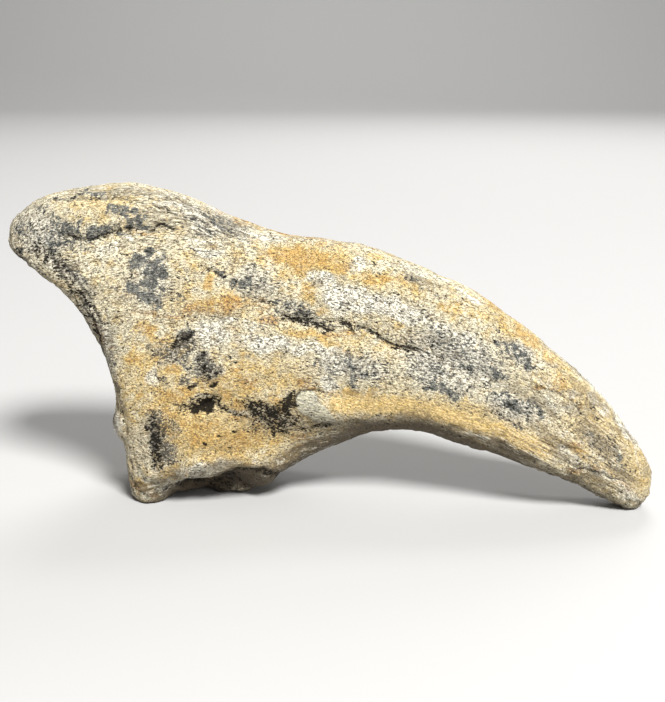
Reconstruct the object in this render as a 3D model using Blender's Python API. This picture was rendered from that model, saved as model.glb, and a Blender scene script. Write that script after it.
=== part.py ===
"""The end bone of a large dinosaur's toe: a fossil claw, standing on its heel and its tip.

The bone is one solid. Its length runs along X with the tip at +X, +Z is up and the near face looks
towards -Y. Z is 0 on the surface that the claw stands on, and X and Y are 0 at the middle of its box.
"""

import math
from typing import NamedTuple

import bmesh
import bpy
import numpy as np
from mathutils import Vector, noise

MM = 0.001

# Driving dimensions, in millimetres.
AROUND = 52  # points round a section
MIDDLE_SHARE = 0.12  # above 0 those points are closer together on the faces than on the edges
BETWEEN = 5  # steps from one station to the next
ACROSS = 14  # steps across the joint surface
RIM = 6.5  # how far the joint surface's rounded rim stands out of the first section
RIM_WIDTH = 0.34  # as a share of the half width
FULL_RIM = 0.25  # how far down the joint surface the rim reaches its full height
HOLLOW = 8.0  # depth of the joint surface below its rim
KEEL = 4.5  # height of the ridge down the middle of the joint surface
KEEL_WIDTH = 0.24  # as a share of the half width
LUMP = 0.7  # height of the gentle unevenness that growth and weather left
LUMP_SIZE = 17.0
TIP = (109.6, -21.9, 7.2)


class Station(NamedTuple):
    """One section of the claw: where it lies in the side view, and how wide it is."""

    dorsal: tuple  # x, z of its upper edge
    middle: tuple  # x, z half way down
    palmar: tuple  # x, z of its lower edge
    shift: float  # y of its middle plane
    half_width: float
    low_weight: float  # above 0 the section is thickest below its middle
    top_power: float  # the smaller, the squarer the section's upper edge
    low_power: float


STATIONS = (
    Station((-108.4, 91.8), (-72.0, 57.0), (-67.5, 0.5), 0.0, 24.0, 0.12, 0.60, 0.38),
    Station((-107.0, 98.5), (-67.5, 58.5), (-63.5, -1.0), 0.0, 25.0, 0.14, 0.60, 0.38),
    Station((-93.5, 105.6), (-58.0, 60.0), (-56.0, 1.0), 0.0, 25.5, 0.18, 0.66, 0.42),
    Station((-70.0, 108.6), (-45.0, 58.5), (-46.0, 1.6), 0.0, 25.0, 0.20, 0.70, 0.46),
    Station((-51.0, 105.0), (-31.0, 56.5), (-35.0, 2.0), -0.3, 23.5, 0.22, 0.74, 0.54),
    Station((-33.5, 96.8), (-19.0, 55.0), (-22.0, 6.6), -1.0, 21.5, 0.22, 0.76, 0.60),
    Station((-16.0, 91.4), (-6.0, 54.5), (-9.5, 12.4), -2.0, 20.0, 0.22, 0.76, 0.64),
    Station((0.0, 90.0), (6.0, 54.5), (3.0, 19.0), -3.5, 18.8, 0.22, 0.76, 0.64),
    Station((14.0, 87.4), (17.0, 54.5), (14.0, 23.8), -5.0, 18.0, 0.22, 0.76, 0.64),
    Station((29.0, 81.8), (28.0, 53.0), (25.0, 25.0), -7.0, 17.2, 0.20, 0.76, 0.64),
    Station((44.0, 75.8), (41.0, 49.5), (38.0, 23.4), -9.5, 16.2, 0.18, 0.76, 0.64),
    Station((58.0, 67.6), (54.0, 43.5), (52.0, 19.2), -12.5, 15.0, 0.16, 0.76, 0.64),
    Station((71.0, 57.4), (67.5, 36.0), (66.0, 15.0), -15.5, 13.8, 0.14, 0.76, 0.66),
    Station((83.4, 46.8), (80.0, 29.0), (79.0, 10.4), -17.8, 12.2, 0.10, 0.76, 0.68),
    Station((94.0, 35.9), (91.0, 21.2), (90.0, 5.0), -19.8, 10.4, 0.05, 0.74, 0.68),
    Station((101.8, 26.0), (99.8, 14.0), (98.0, 1.2), -21.0, 8.6, 0.0, 0.72, 0.64),
    Station((106.6, 18.2), (105.0, 9.6), (103.6, -1.0), -21.6, 6.4, 0.0, 0.70, 0.62),
    Station((109.0, 12.2), (108.4, 7.6), (107.6, 1.4), -21.8, 3.6, 0.0, 0.70, 0.66),
)


class Push(NamedTuple):
    """A lump or a hollow: points within reach of the centre move by up to this much."""

    centre: tuple
    reach: tuple
    move: tuple


class Fold(NamedTuple):
    """A ridge or a groove along a line on one face, as x, z points."""

    side: int  # -1 on the near face, 1 on the far one
    out: float  # height of the ridge, and below 0 the depth of a groove
    width: float
    line: tuple


PUSHES = {
    "near heel": Push((-64.0, -20.0, 3.0), (9.0, 10.0, 12.0), (-1.5, -1.5, -6.0)),
    "far heel": Push((-62.0, 20.0, 3.0), (9.0, 10.0, 12.0), (0.0, 1.0, -5.0)),
    "near scoop": Push((-42.0, -19.0, 6.0), (13.0, 9.0, 6.0), (0.0, 6.0, 0.0)),
    "far scoop": Push((-42.0, 18.0, 5.0), (12.0, 8.0, 7.0), (0.0, -3.0, 1.0)),
    "palmar hollow": Push((-55.0, 3.0, 0.0), (14.0, 8.0, 8.0), (0.0, 0.0, 5.0)),
    "heel tubercle": Push((-34.5, -10.0, 2.0), (6.5, 9.0, 7.0), (0.0, -1.0, -4.5)),
    "near fossa": Push((-50.0, -24.0, 62.0), (18.0, 14.0, 24.0), (0.0, 2.4, 0.0)),
    "far fossa": Push((-46.0, 24.0, 58.0), (20.0, 14.0, 22.0), (0.0, -2.6, 0.0)),
    "blood vessel hole": Push((-43.0, -26.0, 38.4), (7.5, 8.0, 3.6), (0.0, 2.6, 0.0)),
    "scar boss": Push((-5.0, -22.0, 35.5), (7.5, 7.0, 5.5), (0.0, -1.3, 0.0)),
    "crystal crust": Push((-72.0, -10.0, 30.0), (9.0, 6.5, 8.5), (-5.5, 0.0, 0.0)),
    "rim waist": Push((-84.0, 0.0, 73.0), (14.0, 40.0, 12.0), (2.2, 0.0, 1.6)),
    "lip knob": Push((-106.0, -12.0, 90.0), (8.0, 12.0, 7.0), (-1.2, -1.0, -2.0)),
}

FOLDS = {
    "near claw groove": Fold(
        -1, -1.4, 4.4, ((-30, 76), (-18, 69), (-5, 64.5), (10, 62.5), (24, 58), (38, 52.5), (54, 45), (72, 36))
    ),
    "near side groove": Fold(-1, -1.0, 4.0, ((-46, 90), (-40, 84), (-32, 77), (-27, 71))),
    "near swelling": Fold(-1, 1.0, 8.0, ((-20, 55), (0, 50), (20, 46), (40, 41), (60, 33))),
    "near ledge": Fold(-1, 1.4, 5.5, ((2, 34), (14, 34), (27, 34), (40, 31.5), (53, 27), (66, 22), (80, 16))),
    "heel edge": Fold(-1, 2.2, 4.5, ((-62, 12), (-52, 17), (-43, 18), (-35, 16.5), (-27, 14.5), (-18, 17))),
    "lip groove": Fold(-1, -1.8, 4.2, ((-86, 91), (-77, 91.5), (-68, 93.5), (-60, 94.5), (-53, 95))),
    "lip crest": Fold(-1, 1.2, 5.5, ((-92, 99), (-80, 100), (-68, 101), (-56, 100), (-46, 96))),
    "far claw groove": Fold(
        1, -2.0, 4.8, ((-26, 72), (-12, 69), (4, 65), (20, 60), (36, 53), (54, 44), (72, 34))
    ),
    "far ledge": Fold(1, 1.3, 6.0, ((-8, 26), (6, 31), (20, 33), (36, 31), (52, 25), (68, 19))),
    "far heel edge": Fold(1, 1.2, 5.0, ((-60, 13), (-48, 16), (-36, 16), (-24, 18))),
    "far lip groove": Fold(1, -1.5, 4.6, ((-90, 90), (-76, 90), (-62, 93), (-50, 93))),
}


def smooth_between(rows, steps):
    """The rows of numbers with steps laid between each two, on a Catmull-Rom curve through them."""
    rows = np.asarray(rows, float)
    padded = np.vstack([2 * rows[0] - rows[1], rows, 2 * rows[-1] - rows[-2]])
    found = []
    for a, b, c, d in zip(padded, padded[1:], padded[2:], padded[3:]):
        for t in np.arange(steps) / steps:
            square = 2 * a - 5 * b + 4 * c - d
            cube = 3 * b - a - 3 * c + d
            found.append(0.5 * (2 * b + (c - a) * t + square * t**2 + cube * t**3))
    return np.array([*found, rows[-1]])


def sections():
    """Every section as one row of numbers, from the joint surface to the tip."""
    rows = [np.hstack(station) for station in STATIONS]
    return smooth_between(rows, BETWEEN)


def down_the_side(section, share):
    """The x, z at this share of the way from a section's upper edge to its lower one."""
    dorsal, middle, palmar = section[0:2], section[2:4], section[4:6]
    upper = dorsal * (1 - share) * (1 - 2 * share) + middle * 4 * share * (1 - share)
    return upper + palmar * share * (2 * share - 1)


def angle_round(step):
    """The turn of this point round a section, from 0 at the upper edge by way of the near face."""
    angle = 2 * math.pi * step / AROUND
    return angle + MIDDLE_SHARE * math.sin(2 * angle)


def half_width_at(section, angle):
    share = (1 - math.cos(angle)) / 2
    power = section[9] * (1 - share) + section[10] * share
    return section[7] * abs(math.sin(angle)) ** power * (1 - section[8] * math.cos(angle))


def ring(section):
    """The points of a section, from its upper edge down the near face and up the far one."""
    points = []
    for step in range(AROUND):
        angle = angle_round(step)
        x, z = down_the_side(section, (1 - math.cos(angle)) / 2)
        side = -1 if step < AROUND / 2 else 1
        points.append(Vector((x, section[6] + side * half_width_at(section, angle), z)))
    return points


def joint_height(across):
    """How far the joint surface stands out of the first section, from -1 at its near rim to 1."""
    rounding = max(0.0, (abs(across) - 1 + RIM_WIDTH) / RIM_WIDTH)
    height = RIM * math.sqrt(1 - rounding**2)
    inside = max(0.0, 1 - abs(across) / (1 - RIM_WIDTH))
    height -= HOLLOW * math.sin(inside * math.pi / 2) ** 2
    return height + KEEL * math.exp(-((across / KEEL_WIDTH) ** 2))


def joint_surface(section):
    """The rows of points across the joint surface, from its near rim to its far one, top to bottom."""
    rows = []
    for step in range(1, AROUND // 2):
        angle = angle_round(step)
        share = (1 - math.cos(angle)) / 2
        x, z = down_the_side(section, share)
        ahead = down_the_side(section, share + 0.01) - down_the_side(section, share - 0.01)
        outwards = Vector((ahead[1], 0.0, -ahead[0])).normalized()
        width = half_width_at(section, angle)
        rise = min(1.0, share / FULL_RIM) * (1 - (1 - math.sin(angle)) ** 3)
        row = []
        for column in range(1, ACROSS):
            across = -math.cos(math.pi * column / ACROSS)
            out = outwards * joint_height(across) * rise
            row.append(Vector((x, section[6] + across * width, z)) + out)
        rows.append(row)
    return rows


def skin(bm):
    """Faces over the sections, the tip and the joint surface."""
    rings = [[bm.verts.new(p) for p in ring(section)] for section in sections()]
    for first, second in zip(rings, rings[1:]):
        for i in range(AROUND):
            j = (i + 1) % AROUND
            bm.faces.new((first[i], first[j], second[j], second[i]))
    tip = bm.verts.new(TIP)
    for i in range(AROUND):
        bm.faces.new((rings[-1][i], rings[-1][(i + 1) % AROUND], tip))
    rim = rings[0]
    rows = [[rim[0]] * (ACROSS + 1)]
    for step, points in enumerate(joint_surface(sections()[0]), start=1):
        rows.append([rim[step], *[bm.verts.new(p) for p in points], rim[-step]])
    rows.append([rim[AROUND // 2]] * (ACROSS + 1))
    for upper, lower in zip(rows, rows[1:]):
        for i in range(ACROSS):
            corners = dict.fromkeys((upper[i], upper[i + 1], lower[i + 1], lower[i]))
            bm.faces.new(tuple(corners))
    bmesh.ops.recalc_face_normals(bm, faces=bm.faces)


def distance_to_line(x, z, line):
    """How far a point of the side view is from the nearest part of a line."""
    nearest = math.inf
    for (ax, az), (bx, bz) in zip(line, line[1:]):
        along = ((x - ax) * (bx - ax) + (z - az) * (bz - az)) / ((bx - ax) ** 2 + (bz - az) ** 2)
        along = min(1.0, max(0.0, along))
        nearest = min(nearest, math.hypot(x - ax - along * (bx - ax), z - az - along * (bz - az)))
    return nearest


def push(bm):
    for vert in bm.verts:
        moved = vert.co.copy()
        for lump in PUSHES.values():
            away = [(a - b) / r for a, b, r in zip(vert.co, lump.centre, lump.reach)]
            moved += Vector(lump.move) * math.exp(-sum(d * d for d in away))
        vert.co = moved


def fold(bm):
    bm.normal_update()
    moves = []
    for vert in bm.verts:
        move = 0.0
        for line in FOLDS.values():
            away = distance_to_line(vert.co.x, vert.co.z, line.line) / line.width
            facing = max(0.0, vert.normal.y * line.side)
            move += line.out * facing**0.5 * math.exp(-(away**2))
        moves.append(vert.normal * move)
    for vert, move in zip(bm.verts, moves):
        vert.co += move


def uneven(bm):
    bm.normal_update()
    lumps = [v.normal * (LUMP * noise.noise(v.co / LUMP_SIZE)) for v in bm.verts]
    for vert, lump in zip(bm.verts, lumps):
        vert.co += lump


def stand(bm):
    """The worn flats on which the claw stands."""
    cut = bmesh.ops.bisect_plane(
        bm,
        geom=[*bm.verts, *bm.edges, *bm.faces],
        plane_co=(0, 0, 0),
        plane_no=(0, 0, -1),
        clear_outer=True,
    )
    edges = [e for e in cut["geom_cut"] if isinstance(e, bmesh.types.BMEdge)]
    bmesh.ops.holes_fill(bm, edges=edges)


def centre(bm):
    xs = [v.co.x for v in bm.verts]
    ys = [v.co.y for v in bm.verts]
    middle = Vector(((min(xs) + max(xs)) / 2, (min(ys) + max(ys)) / 2, 0.0))
    bmesh.ops.translate(bm, vec=-middle, verts=bm.verts)


def bone_material():
    material = bpy.data.materials.new("fossil_bone")
    material.use_nodes = True
    shader = material.node_tree.nodes["Principled BSDF"]
    shader.inputs["Base Color"].default_value = (0.60, 0.50, 0.33, 1.0)
    shader.inputs["Roughness"].default_value = 0.72
    shader.inputs["Metallic"].default_value = 0.0
    return material


def main():
    for old in list(bpy.data.objects):
        bpy.data.objects.remove(old, do_unlink=True)
    bm = bmesh.new()
    skin(bm)
    push(bm)
    fold(bm)
    uneven(bm)
    stand(bm)
    centre(bm)
    bmesh.ops.scale(bm, vec=(MM, MM, MM), verts=bm.verts)
    mesh = bpy.data.meshes.new("claw")
    bm.to_mesh(mesh)
    bm.free()
    mesh.shade_smooth()
    mesh.materials.append(bone_material())
    claw = bpy.data.objects.new("claw", mesh)
    bpy.context.scene.collection.objects.link(claw)


main()
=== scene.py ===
"""The fossil claw's weathered bone, its mineral stains and a plain studio round it."""

import math
from types import SimpleNamespace
from typing import NamedTuple

import bpy
import numpy as np
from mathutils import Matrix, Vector, noise


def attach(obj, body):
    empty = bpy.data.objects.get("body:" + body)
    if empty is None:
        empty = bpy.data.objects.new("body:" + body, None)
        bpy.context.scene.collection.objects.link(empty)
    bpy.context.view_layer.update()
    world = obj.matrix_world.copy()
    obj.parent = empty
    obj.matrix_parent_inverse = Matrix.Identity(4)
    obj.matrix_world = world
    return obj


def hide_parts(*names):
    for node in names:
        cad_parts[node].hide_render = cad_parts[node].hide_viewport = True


bl_info = {
    "name": "Fossil Claw",
    "version": (1, 0, 0),
    "blender": (4, 5, 0),
    "location": "View3D > Sidebar > Fossil Claw",
    "description": "Builds a fossil claw with its cracks, pits and stains, and a studio round it",
    "category": "Add Mesh",
}

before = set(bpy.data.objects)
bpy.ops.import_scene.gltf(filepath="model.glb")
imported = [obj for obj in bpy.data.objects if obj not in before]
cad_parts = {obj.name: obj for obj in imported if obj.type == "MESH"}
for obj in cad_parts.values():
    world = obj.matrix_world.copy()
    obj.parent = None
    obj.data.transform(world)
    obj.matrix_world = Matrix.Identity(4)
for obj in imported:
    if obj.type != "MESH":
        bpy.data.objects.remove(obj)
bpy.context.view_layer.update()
MM = 0.001

# Where the near face is drawn from: a little above it, and far enough to see it all.
LOOK_AT = Vector((-0.6, 2.5, 49.5))
VIEW_DISTANCE = 345.0
VIEW_RISE = math.radians(17)
TO_VIEWER = Vector((0, -math.cos(VIEW_RISE), math.sin(VIEW_RISE)))

# The drawing has this many squares across and down, counted from its upper left corner.
DRAWING = (665, 702)
SQUARES_PER_MM = 2.826

# The middle of the claw from its joint to its tip, as x, z points in millimetres, and how many
# steps it is cut into and smoothed over.
AXIS = ((-84, 56), (-56, 61), (-26, 60), (6, 55), (34, 48), (60, 38), (84, 24), (110, 6))
AXIS_STEPS = 240
AXIS_SMOOTHING = 31

# The rim of the joint surface, as height and x in millimetres.
RIM_HEIGHTS = (0, 10, 20, 40, 55, 65, 75, 85, 95)
RIM_X = (-73, -73, -74, -76.5, -80, -84, -91, -101, -109)


class Crease(NamedTuple):
    """A crack, groove or ridge on the near face, along a line of drawing squares."""

    height: float  # in millimetres, below 0 for a groove
    width: float  # in millimetres
    # dark: black mineral in most creases; along the scar outline it is painted shadow at the scar's
    # raised edge.
    dark: float  # how much black mineral lies in it
    smear: float  # how far black specks spread from it, in millimetres
    line: tuple


class Patch(NamedTuple):
    """A patch on the near face: its middle, its half sizes, its strength and its turn."""

    across: float
    down: float
    long: float
    short: float
    strength: float
    turn: float = 0  # in degrees, falling to the right


CREASES = {
    "lip crease": Crease(
        -0.6, 0.7, 0.75, 1.0,
        ((62, 236), (75, 237), (84, 239), (95, 238), (103, 235), (111, 231), (120, 229), (131, 228),
         (141, 227)),
    ),
    "lip step": Crease(
        -1.0, 0.9, 0.9, 0.6,
        ((147, 231), (152, 230), (156, 226), (160, 224), (165, 225), (170, 227), (177, 229)),
    ),
    "lip overhang": Crease(
        0.8, 2.2, 0.0, 0.0,
        ((66, 228), (80, 229), (95, 229), (110, 222), (130, 220), (150, 221), (162, 218),
         (178, 223)),
    ),
    "rim line": Crease(
        -0.4, 0.6, 0.75, 1.1,
        ((46, 248), (54, 260), (62, 274), (72, 288), (82, 303), (90, 317), (97, 332), (103, 350)),
    ),
    "inner rim line": Crease(
        -0.3, 0.5, 0.6, 0.7, ((56, 252), (66, 266), (77, 280), (86, 293), (95, 308), (101, 322))
    ),
    "heel side line": Crease(
        -0.3, 0.5, 0.45, 0.6, ((128, 466), (131, 480), (137, 490), (147, 497))
    ),
    "second heel side line": Crease(
        -0.25, 0.5, 0.4, 0.5, ((134, 452), (138, 468), (146, 480), (158, 486))
    ),
    "heel flake": Crease(
        0.5, 1.0, 0.0, 0.0,
        ((156, 484), (172, 478), (188, 471), (204, 472), (218, 468), (236, 463), (256, 463),
         (280, 466)),
    ),
    "heel flake line": Crease(
        -0.4, 0.6, 0.6, 0.9,
        ((160, 489), (176, 484), (190, 480), (208, 479), (222, 474), (240, 469), (262, 469),
         (288, 470)),
    ),
    "lower lip line": Crease(
        -0.35, 0.5, 0.35, 0.4,
        ((103, 237), (118, 236), (127, 235), (136, 239), (150, 245), (160, 249), (169, 250)),
    ),
    "upper lip line": Crease(
        -0.3, 0.5, 0.45, 1.2,
        ((50, 200), (66, 200), (78, 198), (92, 200), (104, 198), (116, 197), (128, 199), (142, 203),
         (160, 207), (186, 221)),
    ),
    "neck layer": Crease(
        -0.35, 0.6, 0.15, 0.4, ((168, 204), (184, 212), (200, 224), (222, 232), (246, 238))
    ),
    "second neck layer": Crease(
        -0.3, 0.5, 0.1, 0.4, ((160, 214), (178, 220), (196, 230), (214, 238), (240, 246))
    ),
    "slanting crack": Crease(
        -0.4, 0.5, 0.45, 0.7,
        ((204, 266), (214, 271), (223, 277), (231, 284), (238, 289), (247, 294), (257, 300),
         (268, 304), (280, 312)),
    ),
    "groove crack": Crease(
        -1.3, 1.0, 1.0, 1.0,
        ((282, 314), (289, 318), (297, 320), (307, 319), (313, 322), (320, 326), (328, 329),
         (337, 331)),
    ),
    "second groove crack": Crease(
        -0.9, 0.8, 0.95, 1.0, ((335, 320), (342, 322), (348, 325), (352, 330), (357, 335))
    ),
    "long groove crack": Crease(
        -0.9, 0.8, 0.9, 1.1,
        ((358, 325), (364, 327), (371, 331), (378, 336), (386, 341), (394, 345), (403, 348),
         (411, 349), (424, 352)),
    ),
    "vessel hole": Crease(
        -1.6, 1.3, 1.0, 1.1, ((192, 411), (199, 408), (206, 405), (213, 402), (215, 405))
    ),
    "vessel crack": Crease(
        -0.5, 0.45, 0.85, 0.3,
        ((172, 404), (183, 405), (192, 410), (205, 406), (217, 405), (225, 409), (233, 413),
         (241, 415), (250, 419)),
    ),
    # Painted shadow along the scar's raised upper left edge.
    "scar outline": Crease(
        -0.4, 0.45, 0.6, 0.5,
        ((303, 420), (297, 414), (294, 406), (295, 398), (300, 392), (308, 389), (318, 390),
         (328, 394)),
    ),
    "under the scar": Crease(
        -0.5, 0.7, 0.6, 1.0, ((301, 431), (308, 428), (317, 426), (326, 425), (335, 425))
    ),
    "back ridge crack": Crease(
        -0.25, 0.45, 0.35, 0.5, ((404, 272), (414, 279), (424, 287), (433, 292), (447, 300))
    ),
    "middle crack": Crease(-0.3, 0.5, 0.5, 0.5, ((424, 336), (433, 341), (440, 346), (446, 350))),
    "short crack": Crease(-0.3, 0.5, 0.5, 0.4, ((462, 367), (470, 370), (481, 369))),
    "brown crack": Crease(
        -0.35, 0.5, 0.5, 0.5,
        ((520, 378), (532, 381), (543, 389), (553, 392), (563, 395), (571, 401), (577, 409),
         (588, 422)),
    ),
    "upper tip crack": Crease(
        -0.45, 0.6, 0.45, 0.4, ((538, 439), (547, 445), (556, 449), (570, 448), (584, 451))
    ),
    "lower tip crack": Crease(
        -0.5, 0.6, 0.5, 0.4, ((571, 470), (585, 469), (597, 472), (610, 477), (624, 482))
    ),
    "end tip crack": Crease(-0.4, 0.5, 0.5, 0.5, ((612, 445), (617, 456), (622, 463))),
}

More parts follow.
